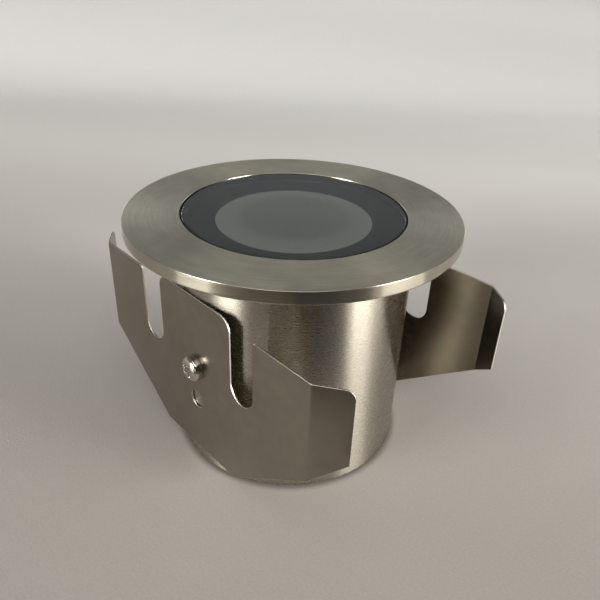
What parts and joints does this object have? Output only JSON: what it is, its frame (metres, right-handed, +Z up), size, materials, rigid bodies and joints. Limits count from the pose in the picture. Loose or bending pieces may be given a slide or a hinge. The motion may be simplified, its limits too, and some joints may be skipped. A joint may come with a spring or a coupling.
{
  "type": "in-ground well light",
  "caption": "Round recessed ground light: flanged stainless tube body, flush frosted-window glass with dark border, bent-sheet spring clips on its sides and a cable gland in the recessed base.",
  "frame": {"origin": "centre of the tube's foot, on the ground plane it stands on (bottom centre of the bounding box)", "axes": "+Z up, out of the ground along the tube and the beam; +X along the width of the clips, from fold to fold; the front clip is on the -Y side and the rear clip on the +Y side"},
  "size_m": [0.1144, 0.1, 0.0765],
  "materials": {
    "turned_stainless": "satin, fine concentric brushing",
    "tube_stainless": "brushed round the tube",
    "spring_sheet": "smooth cold-rolled sheet with bright cut edges",
    "bright_screw": "bright polished",
    "steel_hardware": "plain stainless",
    "base_stainless": "turned",
    "clear_glass": "clear toughened glass",
    "dark_enamel": "dark blue-grey fired band",
    "black_rubber": "black silicone",
    "opal": "frosted, translucent",
    "spun_aluminium": "satin anodised",
    "black_moulding": "black moulded",
    "gland_nylon": "black nylon",
    "phosphor": "yellow phosphor on white ceramic",
    "white_board": "white solder mask on aluminium",
    "grey_pad": "grey silicone pad",
    "wire_insulation": "insulated copper wire",
    "cast_aluminium": "turned and milled",
    "clear_film": "thin polyester film",
    "brass_parts": "plain brass",
    "green_board": "green circuit board",
    "ferrite": "wound ferrite drum",
    "capacitor_can": "sleeved can",
    "green_terminal": "green moulded"
  },
  "bodies": {
    "light_body": {"base_plate": "base_stainless", "base_screws": "steel_hardware", "base_seal": "black_rubber", "clip_nuts": "steel_hardware", "diffuser_disc": "opal", "driver_board": "green_board", "driver_board_screws": "steel_hardware", "driver_capacitors": "capacitor_can", "driver_controller": "black_moulding", "driver_inductor": "ferrite", "driver_rectifier": "black_moulding", "driver_standoffs": "brass_parts", "driver_terminal_block": "green_terminal", "front_clip_screw": "bright_screw", "gland_body": "gland_nylon", "gland_cap": "gland_nylon", "gland_locknut": "gland_nylon", "gland_seal": "black_rubber", "heat_sink": "cast_aluminium", "heat_sink_screws": "steel_hardware", "housing_tube": "tube_stainless", "insulating_film": "clear_film", "led_board": "white_board", "led_board_screws": "steel_hardware", "led_emitter": "phosphor", "led_leads": "wire_insulation", "lens_border": "dark_enamel", "lens_gasket": "black_rubber", "lens_glass": "clear_glass", "rear_clip_screw": "bright_screw", "reflector": "spun_aluminium", "reflector_holder": "black_moulding", "thermal_pad": "grey_pad", "tie_pillars": "brass_parts", "trim_ring": "turned_stainless"},
    "front_clip_body": {"front_clip": "spring_sheet"},
    "rear_clip_body": {"rear_clip": "spring_sheet"}
  },
  "joints": [
    {"name": "front_clip_swivel", "type": "hinge", "parent": "light_body", "child": "front_clip_body", "pos_m": [0, -0.0371, 0.0359], "axis": [0, -1, 0], "range_deg": [-20, 20]},
    {"name": "rear_clip_swivel", "type": "hinge", "parent": "light_body", "child": "rear_clip_body", "pos_m": [0, 0.0371, 0.0359], "axis": [0, 1, 0], "range_deg": [-20, 20]}
  ]
}
